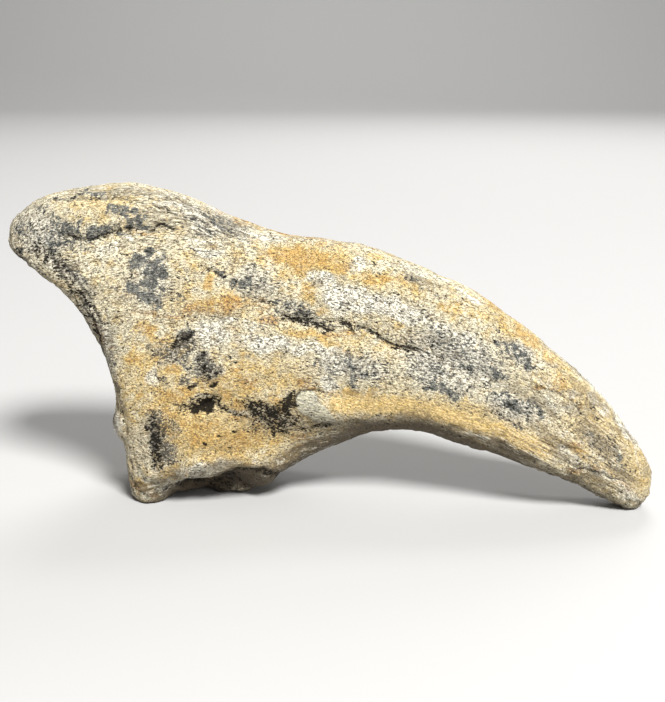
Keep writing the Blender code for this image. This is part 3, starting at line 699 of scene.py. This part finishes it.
def cover_all(surface):
    """Works out how strongly each colour covers each point."""
    cover, seen, normals = surface.cover, surface.seen, surface.normals
    beside = 1 - smooth_step(2.0, 9.0, surface.rim[:, 0])
    face = smooth_step(0.25, 0.6, -normals[:, 0])
    face = face * (1 - smooth_step(-70.0, -60.0, surface.points[:, 0]))
    cover["joint"] = np.maximum(beside, face)
    for index, name in enumerate(PATCHES):
        hidden = hidden_patches(surface, index, name)
        cover[name] = seen * patches_at(surface, name) + (1 - seen) * hidden
    cover["ledge"] = np.exp(-((distance_from(surface.drawn, LEDGE) / 10.0) ** 2)) * seen
    cover["scar"] = (1.5 - np.clip(scar_reach(surface), 0.5, 1.5)) * seen
    run = surface.grain[:, 0]
    cover["tip"] = smooth_step(0.58, 0.85, run / run.max())
    # Painted shade: faces turned downward, less at the tip, and a band along the lower edge mark
    # where the underside is darkened.
    edge = 0.85 * (1 - smooth_step(1.0, 8.0, distance_from(surface.drawn, SHADED_LOWER_EDGE))) * seen
    down = -normals[:, 2] - 0.25 * cover["tip"]
    cover["below"] = np.maximum(smooth_step(0.05, 0.65, down), edge)


def weather(surface, settings):
    """Moves the points outwards or inwards to give the bone its lumps, fibres, pits and cracks."""
    points, cover = surface.points, surface.cover
    off_joint = 1 - cover["joint"]
    lumps = grown_noise(points, 15.0) + 0.5 * grown_noise(points + 40, 5.5)
    lumps *= 1 - 0.85 * cover["tip"]
    fibre_weight = 0.3 + 0.9 * cover["tip"] + 0.6 * cover["below"] + 0.5 * cover["streaked"]
    fibre_weight -= 0.3 * cover["ochre"]
    fibres = ridges(surface.grain / (7.0, 1.7, 1.7)) * fibre_weight * off_joint
    fibres += ridges(surface.rim / (1.6, 9.0, 3.0)) * 0.9 * cover["joint"]
    layers = grown_noise(surface.flow / (16.0, 3.6, 5.0), 1.0, 2) * 5
    layers = np.floor(layers) + smooth_step(0.7, 1.0, layers - np.floor(layers))
    layers = layers * (0.25 + cover["streaked"] + 0.6 * cover["tip"]) * off_joint
    grit_weight = 1 + cover["stain"] + 1.5 * cover["crystal"] + 1.5 * cover["scoop"]
    grit = grown_noise(points, 1.9, 2) * grit_weight
    pits = -smooth_step(0.22, 0.5, grown_noise(surface.grain / (1.9, 1.1, 1.1), 1.0, 1))
    pits = pits * (0.5 + cover["white"] - 0.4 * cover["ochre"])
    chips = -smooth_step(0.25, 0.6, grown_noise(points + 9, 4.5, 3)) * cover["joint"]
    relief = fibres * settings.fibre_height + grit * settings.grit_height
    relief += layers * settings.layer_height
    relief += pits * settings.pit_depth + chips * settings.chip_depth
    # Painted shade: how deep the relief's low places lie, its fibre valleys, grit, pits and chips,
    # for darkening them in the material.
    surface.store("hollow_shade", np.clip(-relief / 0.45, -1, 1))
    for row in BULGES:
        bulge = Patch(*row)
        rise = 1 - smooth_step(0.4, 1.3, patch_reach(surface.drawn, bulge))
        relief += bulge.strength * rise * surface.seen
    scar_plate = (1 - smooth_step(0.86, 1.02, scar_reach(surface))) * surface.seen
    relief += scar_plate * SCAR_HEIGHT + carve_creases(surface)
    moved = points + surface.normals * (lumps * settings.lump_height + relief)[:, None]
    moved[:, 2] = np.maximum(moved[:, 2], 0.0)
    surface.bone.data.vertices.foreach_set("co", (moved * MM).astype(np.float32).ravel())
    surface.bone.data.update()


class Value:
    """A number, a place or a colour in a material. Sums and products of values make their nodes."""

    def __init__(self, nodes, socket):
        self.nodes = nodes
        self.socket = socket

    def __add__(self, other):
        return self.nodes.maths("ADD", self, other)

    def __sub__(self, other):
        return self.nodes.maths("SUBTRACT", self, other)

    def __rsub__(self, other):
        return self.nodes.maths("SUBTRACT", other, self)

    def __mul__(self, other):
        if isinstance(other, tuple):
            return self.nodes.add("VectorMath", {0: self, 1: other}, operation="MULTIPLY")
        return self.nodes.maths("MULTIPLY", self, other)

    def __abs__(self):
        return self.nodes.maths("ABSOLUTE", self)


class Nodes:
    """Adds nodes to one material, and joins them up."""

    def __init__(self, tree):
        self.tree = tree

    def join(self, socket, value):
        """Gives a socket another node's value, a number, a place or a colour."""
        if isinstance(value, Value):
            self.tree.links.new(value.socket, socket)
        elif socket.type == "RGBA":
            socket.default_value = (*value, 1.0)
        else:
            socket.default_value = value

    def add(self, kind, inputs=None, output=0, **settings):
        """One of a new node's values."""
        made = self.tree.nodes.new("ShaderNode" + kind)
        for name, value in settings.items():
            setattr(made, name, value)
        for name, value in (inputs or {}).items():
            self.join(made.inputs[name], value)
        return Value(self, made.outputs[output])

    def mix(self, share, first, second, how="MIX"):
        """The colour between two colours."""
        inputs = {0: share, 6: first, 7: second}
        return self.add("Mix", inputs, 2, data_type="RGBA", blend_type=how)

    def lay(self, share, tint, how="MIX"):
        """Lays another colour over the tone so far."""
        self.tone = self.mix(share, self.tone, tint, how)

    def maths(self, how, *values, clamp=False):
        return self.add("Math", dict(enumerate(values)), operation=how, use_clamp=clamp)

    def larger(self, first, second):
        return self.maths("MAXIMUM", first, second)

    def step(self, value, low, high, to_low=0.0, to_high=1.0):
        """The value's place between two limits, with soft ends."""
        names = ("Value", "From Min", "From Max", "To Min", "To Max")
        inputs = dict(zip(names, (value, low, high, to_low, to_high)))
        return self.add("MapRange", inputs, interpolation_type="SMOOTHSTEP")

    def attribute(self, name, output="Fac"):
        return self.add("Attribute", None, output, attribute_name=name)

    def noise(self, places, scale, detail, roughness):
        inputs = {"Vector": places, "Scale": scale, "Detail": detail, "Roughness": roughness}
        return self.add("TexNoise", inputs)

    def ragged(self, cover, texture, gain, softness):
        """A patch with a broken edge: whole where cover is 1, only specks where it is small."""
        return self.step((texture - 0.5) * gain + cover, 0.5 - softness, 0.5 + softness)


def bone_material(settings):
    """The bone's material, painted from its pale ground up to the black mineral in its cracks."""
    material = bpy.data.materials.new("weathered_bone")
    material.use_nodes = True
    n = Nodes(material.node_tree)
    places = n.add("TexCoord", None, "Object")
    grain = n.attribute("grain", "Vector")
    names = (*PATCHES, "ledge", "tip", "joint", "below")
    cover = SimpleNamespace(**{name: n.attribute(name) for name in names})

    # The noises.
    wide = n.noise(places, 70.0, 3.0, 0.6)
    blotch = n.noise(places, 290.0, 5.0, 0.72)
    ragged = n.noise(places, 700.0, 3.0, 0.7)
    branches = n.noise(places, 480.0, 6.0, 0.85)
    dust = n.noise(places, 2600.0, 1.0, 0.5)
    fleck = n.noise(grain * (0.6, 1.1, 1.1), 1.55, 2.0, 0.62)
    stipple = n.noise(grain * (0.55, 1.1, 1.1), 1.35, 1.0, 0.5)
    worm = n.noise(grain * (0.7, 1.0, 1.0), 1.05, 2.0, 0.65)
    scratch = n.noise(grain * (0.25, 1.1, 1.0), 1.3, 2.0, 0.6)
    streak = n.noise(n.attribute("flow", "Vector") * (0.075, 1.2, 1.1), 1.2, 3.0, 0.7)
    rim_streak = n.noise(n.attribute("rim", "Vector") * (1.0, 0.14, 0.5), 1.1, 3.0, 0.7)
    line = n.mix(cover.joint, streak, rim_streak)

    # Where the bone is scarred, bare, calm, rough or streaked, and a ring of painted shade round
    # the scar's raised edge.
    scar_level = n.attribute("scar") + (blotch - 0.5) * 0.6
    scar = n.step(scar_level, 0.47, 0.53)
    scar_edge_shade = n.step(scar_level, 0.38, 0.45) * n.step(scar_level, 0.56, 0.5)
    bare = 1.0 - n.larger(scar, cover.crystal)
    calm = n.larger(cover.ochre * 0.6, n.larger(cover.ledge, cover.calm))
    rough = 1.0 - calm * 0.55
    ends = n.larger(cover.joint * 0.6, cover.tip * 0.42)
    streaked = cover.streaked * n.step(cover.joint, 0.0, 1.0, 1.0, 0.2)
    streaked = n.maths("ADD", streaked, ends, clamp=True)
    streaked = streaked * n.step(n.larger(cover.white, cover.calm), 0.0, 1.0, 1.0, 0.3)
    streaky = (line - 0.5) * streaked

    # Cream and straw bone, warmer and cooler by region.
    n.tone = n.mix(n.step(wide, 0.38, 0.62), settings.cream, settings.bone)
    n.lay(n.step(blotch, 0.47, 0.6) * 0.6, settings.straw)
    for region, low, high, strength, tint in (
        (cover.warm, 0.1, 1.0, 0.8, settings.straw),
        (cover.cool, 0.1, 1.0, 0.7, settings.pale),
        (cover.mottle, 0.15, 0.8, 0.45, settings.mist),
    ):
        n.lay(n.step(region + (blotch - 0.5) * 1.2, low, high) * strength, tint)

    # White, ochre and rust patches, the ledge, the scar and the crystals, with some white patches
    # and the paler ledge as painted highlights; then painted shade round the scar's edge, on the
    # underside and lower edge, and in the scoops under the heel.
    n.lay(n.ragged(cover.white, blotch, 2.2, 0.3), settings.white)
    depth = n.step(ragged + (cover.ochre - 0.65) * 0.4, 0.38, 0.66)
    ochre = n.mix(depth, settings.ochre, settings.deep_ochre)
    n.lay(n.ragged(cover.ochre * 0.92, blotch, 2.6, 0.4) * 0.85, ochre)
    # The ledge's own orange, made paler as a painted highlight on its rounded face.
    ledge = n.mix(n.step(ragged, 0.4, 0.62), settings.ledge, settings.ochre)
    n.lay(n.step(cover.ledge + (blotch - 0.5) * 0.8, 0.05, 0.85) * 0.92, ledge)
    rust = n.mix(n.step(fleck, 0.4, 0.6), settings.deep_ochre, settings.rust)
    n.lay(n.ragged(cover.rust, blotch, 2.4, 0.3) * 0.7, rust)
    scratched = n.mix(n.step(scratch, 0.45, 0.68, 0.0, 0.75), settings.scar, settings.haze)
    n.lay(scar, scratched)
    # Painted shade in a ring round the scar's raised edge.
    n.lay(scar_edge_shade * 0.4, settings.streak)
    n.lay(cover.crystal, settings.crystal)
    # Painted shade on the underside and lower edge, toward a dark brown that is partly the bone's
    # own colour, less under white patches and at the joint.
    below = cover.below * n.step(cover.white, 0.0, 1.0, 0.95, 0.25)
    n.lay(below * n.step(cover.joint, 0.0, 1.0, 1.0, 0.5), settings.underside_brown_and_shade)
    # Painted shade in the scoops under the heel.
    n.lay(cover.scoop * 0.85, settings.scoop)

    # Dust, wrinkles, streaks, specks and pits, weaker where the bone is calm. The specks are
    # mineral grains and partly painted shade in fine pores, and the relief's pits and hollows get
    # painted shade.
    light = n.step(dust, 0.3, 0.7, -0.20, 0.13) * rough
    light = light + n.step(fleck, 0.3, 0.65, 0.16, -0.24) * rough + 1.0
    grey = n.add("CombineColor", {"Red": light, "Green": light, "Blue": light})
    n.lay(1.0, grey, "MULTIPLY")
    wrinkles = n.step(abs(worm - 0.5), 0.03, 0.006)
    n.lay(wrinkles * (bare * rough * 0.75), settings.speck_and_hollow_shade)
    n.lay(n.step(line, 0.51, 0.58) * (streaked * 0.9), settings.streak)
    n.lay(n.step(line, 0.48, 0.38) * (streaked * 0.8), settings.white)
    density = calm * -0.08 + (cover.cool - cover.warm) * 0.03 + cover.ledge * -0.03
    density = density + cover.white * -0.02 + cover.tip * -0.05 + (blotch - 0.5) * 0.35
    n.lay(n.step(fleck + density, 0.56, 0.62) * (bare * 0.74), settings.speck_and_hollow_shade)
    stipples = n.step(stipple, 0.6, 0.66) * (cover.white * 0.7 + 0.15) * bare * rough
    n.lay(stipples, settings.dark_speck)
    # Painted shade in the relief's hollows.
    n.lay(n.step(n.attribute("hollow_shade"), 0.0, 0.9) * 0.6, settings.speck_and_hollow_shade)

    # Blue-grey stain that branches, and pepper of fine black grains.
    stain = (branches - 0.5) * 5.8 + (fleck - 0.5) * 1.0 + cover.stain * 1.1 + streaky * 3.0
    stain = stain + n.step(calm, 0.0, 1.0, -0.07, -0.45)
    grains = n.mix(n.step(dust, 0.4, 0.65), settings.stain, settings.haze)
    grains = n.mix(n.step(fleck, 0.48, 0.62), grains, settings.stain)
    n.lay(n.step(stain, 0.42, 0.62) * 0.93, grains)
    n.lay(n.step(stain, 1.1, 1.5) * 0.7, settings.black)
    pepper = (fleck - 0.5) * 2.2 + (dust - 0.5) * 1.6 + (branches - 0.5) * 2.5
    pepper = pepper + streaky * 3.5 + calm * -0.35 + cover.mottle * 0.95
    grains = n.mix(n.step(cover.warm, 0.2, 0.6), settings.stain, settings.pepper)
    n.lay(n.step(pepper, 0.4, 0.75) * 0.88, grains)

    # Black mineral in patches and in the cracks.
    # The black patches' own dark brown ground, in the same colour as the scoops' painted shade.
    n.lay(n.step(cover.black, 0.1, 0.9) * 0.45, settings.scoop)
    black = (branches - 0.5) * 5.0 + (fleck - 0.5) * 2.4 + calm * -0.25 + cover.black
    gap = n.attribute("crack_gap") + (blotch - 0.5) * 1.6 + (ragged - 0.5) * 1.0
    crack = n.step(abs(gap), 0.62, 0.22) * n.attribute("crack_dark")
    crack = crack * n.step(fleck, 0.35, 0.5, 0.3, 1.0)
    black = n.larger(n.step(black, 0.45, 0.7), crack)
    n.lay(black * 0.96, settings.black)

    # The gloss and the fine bumps.
    middle = settings.roughness
    height = dust * 0.35 + fleck * -1.2 + line * streaked * -1.2
    height = height + n.larger(stipples, n.larger(wrinkles, crack)) * -0.6
    bump = n.add("Bump", {"Height": height, "Strength": 1.0, "Distance": 0.0006})
    inputs = n.tree.nodes["Principled BSDF"].inputs
    n.join(inputs["Base Color"], n.tone)
    n.join(inputs["Specular IOR Level"], n.step(black, 0.0, 1.0, 0.35, 0.06))
    n.join(inputs["Roughness"], n.step(blotch, 0.3, 0.7, middle - 0.12, middle + 0.1))
    n.join(inputs["Normal"], bump)
    return material


def number(name, description, default, **limits):
    return bpy.props.FloatProperty(name=name, description=description, default=default, **limits)


def colour(name, description, default):
    return bpy.props.FloatVectorProperty(
        name=name, description=description, subtype="COLOR", min=0.0, max=1.0, default=default
    )


class BoneSettings(bpy.types.PropertyGroup):
    pattern: bpy.props.IntProperty(
        name="Pattern",
        description="Which of many patterns the wandering edges of the patches follow",
        default=2,
        min=1,
    )
    voxel: number("Voxel", "Size of the bone's faces", 0.00075, min=0.0005, unit="LENGTH")
    lump_height: number("Lumps", "Height of the gentle lumps, in millimetres", 0.45)
    fibre_height: number("Fibres", "Height of the bone's fibres, in millimetres", 0.16)
    layer_height: number("Layers", "Height of one flaked layer, in millimetres", 0.12)
    grit_height: number("Grit", "Height of the small roughness, in millimetres", 0.10)
    pit_depth: number("Pits", "Depth of the small pits, in millimetres", 0.30)
    chip_depth: number("Chips", "Depth of the chips along the rim, in millimetres", 0.5)
    roughness: number("Roughness", "Roughness of the bone", 0.78, subtype="FACTOR")
    cream: colour("Cream", "Bone between the patches", (0.69, 0.605, 0.41))
    bone: colour("Bone", "Paler bone between the patches", (0.75, 0.68, 0.49))
    straw: colour("Straw", "Yellow blotches in the bone", (0.68, 0.51, 0.23))
    pale: colour("Pale", "Grey-white bone under the stains", (0.64, 0.615, 0.53))
    # The palest bone, also used for painted highlights along the dorsal edge, the tip, the heel
    # ridge and the heel's rim.
    white: colour("White", "Palest patches", (0.86, 0.815, 0.67))
    ochre: colour("Ochre", "Yellow patches", (0.67, 0.47, 0.165))
    # The ledge's own orange, made paler as a painted highlight on its rounded face.
    ledge: colour("Ledge", "Smooth yellow ledge above the lower edge", (0.90, 0.65, 0.29))
    deep_ochre: colour("Deep ochre", "Orange in the yellow patches", (0.52, 0.30, 0.075))
    rust: colour("Rust", "Brown patches", (0.34, 0.16, 0.06))
    scar: colour("Scar", "Scar of pale bone", (0.68, 0.63, 0.46))
    crystal: colour("Crystal", "Crust of pale crystals", (0.66, 0.65, 0.60))
    # A dark brown that is partly the underside's own colour and partly painted shade.
    underside_brown_and_shade: colour("Underside", "Lower edge", (0.075, 0.052, 0.028))
    # Painted shade in the scoops under the heel, and the dark brown ground under the black patches.
    scoop: colour("Scoop", "Dark scoops under the heel", (0.045, 0.032, 0.02))
    streak: colour("Streaks", "Dark lines along the bone's grain", (0.19, 0.15, 0.10))
    # Brown specks, partly painted shade in fine pores, also used as painted shade in the relief's
    # hollows.
    speck_and_hollow_shade: colour("Specks", "Brown specks all over the bone", (0.16, 0.125, 0.075))
    dark_speck: colour("Dark specks", "Specks in the palest patches", (0.09, 0.08, 0.065))
    mist: colour("Mist", "Blue-grey bone between the grains of stain", (0.54, 0.545, 0.515))
    pepper: colour("Pepper", "Fine black grains over the yellow", (0.052, 0.045, 0.033))
    haze: colour("Haze", "Thin grey stain", (0.28, 0.278, 0.245))
    stain: colour("Stain", "Thick blue-grey stain", (0.085, 0.089, 0.081))
    black: colour("Black", "Black mineral in the cracks", (0.014, 0.012, 0.009))


class StageSettings(bpy.types.PropertyGroup):
    floor_colour: colour("Floor", "Colour of the floor", (0.46, 0.455, 0.445))
    key_power: number("Key light", "Power of the overhead light", 84.0, unit="POWER")
    fill_power: number("Fill light", "Power of the front light", 5.0, unit="POWER")
    back_power: number("Back light", "Power of the light from behind", 15.0, unit="POWER")
    backdrop_power: number("Wall light", "Power of the light behind", 50.0, unit="POWER")
    sky: number("Sky", "Strength of the light from all round", 0.17)


class FOSSIL_OT_bone(bpy.types.Operator):
    """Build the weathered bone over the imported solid"""

    bl_idname = "fossil.bone"
    bl_label = "Build the bone"

    def execute(self, context):
        settings = context.scene.fossil_bone
        bone = copy_of_claw()
        add_modifier(bone, "SUBSURF", levels=1, render_levels=1)
        add_modifier(bone, "REMESH", mode="VOXEL", voxel_size=settings.voxel, use_smooth_shade=True)
        add_modifier(bone, "SMOOTH", factor=0.5, iterations=2)
        noise.seed_set(settings.pattern)
        surface = Surface(bone)
        cover_all(surface)
        weather(surface, settings)
        places = {"grain": surface.grain, "flow": surface.flow, "rim": surface.rim}
        for name, values in (places | surface.cover).items():
            surface.store(name, values)
        bone.data.materials.clear()
        bone.data.materials.append(bone_material(settings))
        only(bone)
        bpy.ops.object.shade_smooth()
        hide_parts("claw")
        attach(bone, "root")
        return {"FINISHED"}


class FOSSIL_OT_stage(bpy.types.Operator):
    """Build the floor, the lights and the camera"""

    bl_idname = "fossil.stage"
    bl_label = "Build the stage"

    def execute(self, context):
        settings = context.scene.fossil_stage
        build_floor(settings)
        build_lights(settings)
        build_camera(context)
        return {"FINISHED"}


def select_corner(floor):
    """Selects the edge where the floor ends and the wall begins, and no others."""
    slack = 0.1
    for edge in floor.data.edges:
        ends = [floor.data.vertices[i].co for i in edge.vertices]
        edge.select = all(end.y > WALL_PLACE - slack and end.z < slack for end in ends)


def build_floor(settings):
    """A square floor that curves up into a wall behind the claw."""
    bpy.ops.object.select_all(action="DESELECT")
    middle = (0, WALL_PLACE - FLOOR_SIZE / 2, 0)
    bpy.ops.mesh.primitive_plane_add(size=FLOOR_SIZE, location=middle)
    floor = bpy.context.object
    floor.name = "studio_floor"
    bpy.ops.object.transform_apply(location=True, rotation=True, scale=True)
    bpy.ops.object.mode_set(mode="EDIT")
    bpy.ops.mesh.select_mode(type="EDGE")
    bpy.ops.mesh.select_all(action="DESELECT")
    bpy.ops.object.mode_set(mode="OBJECT")
    select_corner(floor)
    bpy.ops.object.mode_set(mode="EDIT")
    bpy.ops.mesh.extrude_region_move(TRANSFORM_OT_translate={"value": (0, 0, WALL_HEIGHT)})
    bpy.ops.object.mode_set(mode="OBJECT")
    select_corner(floor)
    bpy.ops.object.mode_set(mode="EDIT")
    bpy.ops.mesh.bevel(offset=CORNER_ROUNDING, segments=24, affect="EDGES")
    bpy.ops.object.mode_set(mode="OBJECT")
    bpy.ops.object.shade_smooth()
    material = bpy.data.materials.new("studio_floor")
    material.use_nodes = True
    shader = material.node_tree.nodes["Principled BSDF"]
    shader.inputs["Base Color"].default_value = (*settings.floor_colour, 1.0)
    shader.inputs["Roughness"].default_value = 0.9
    floor.data.materials.append(material)


def build_lights(settings):
    """The lights, each turned to what it lights, and an even white sky."""
    powers = (settings.key_power, settings.fill_power, settings.back_power, settings.backdrop_power)
    for (name, place, target, size), power in zip(LIGHTS, powers):
        bpy.ops.object.light_add(type="AREA", location=place)
        light = bpy.context.object
        light.name = name
        light.data.shape = "DISK"
        light.data.size = size
        light.data.energy = power
        light.rotation_euler = (Vector(target) - Vector(place)).to_track_quat("-Z", "Y").to_euler()
    world = bpy.data.worlds.new("studio_sky")
    world.use_nodes = True
    background = world.node_tree.nodes["Background"]
    background.inputs["Color"].default_value = (1.0, 1.0, 1.0, 1.0)
    background.inputs["Strength"].default_value = settings.sky
    bpy.context.scene.world = world


def build_camera(context):
    """The camera, in the place that the near face is drawn from."""
    place = (LOOK_AT + TO_VIEWER * VIEW_DISTANCE) * MM
    turn = (-TO_VIEWER).to_track_quat("-Z", "Y").to_euler()
    bpy.ops.object.camera_add(location=place, rotation=turn)
    camera = bpy.context.object
    camera.data.lens = 50
    camera.data.sensor_width = 36
    camera.data.clip_start = 0.01
    context.scene.camera = camera
    context.scene.view_settings.view_transform = "Standard"


class FOSSIL_PT_panel(bpy.types.Panel):
    bl_label = "Fossil Claw"
    bl_idname = "FOSSIL_PT_panel"
    bl_space_type = "VIEW_3D"
    bl_region_type = "UI"
    bl_category = "Fossil Claw"

    def draw(self, context):
        for operator in OPERATORS:
            self.layout.operator(operator.bl_idname)


OPERATORS = (FOSSIL_OT_bone, FOSSIL_OT_stage)
CLASSES = (BoneSettings, StageSettings, *OPERATORS, FOSSIL_PT_panel)


def register():
    for item in CLASSES:
        bpy.utils.register_class(item)
    bpy.types.Scene.fossil_bone = bpy.props.PointerProperty(type=BoneSettings)
    bpy.types.Scene.fossil_stage = bpy.props.PointerProperty(type=StageSettings)


def unregister():
    del bpy.types.Scene.fossil_stage
    del bpy.types.Scene.fossil_bone
    for item in reversed(CLASSES):
        bpy.utils.unregister_class(item)


def main():
    register()
    bpy.ops.fossil.bone()
    bpy.ops.fossil.stage()


if __name__ == "__main__":
    main()
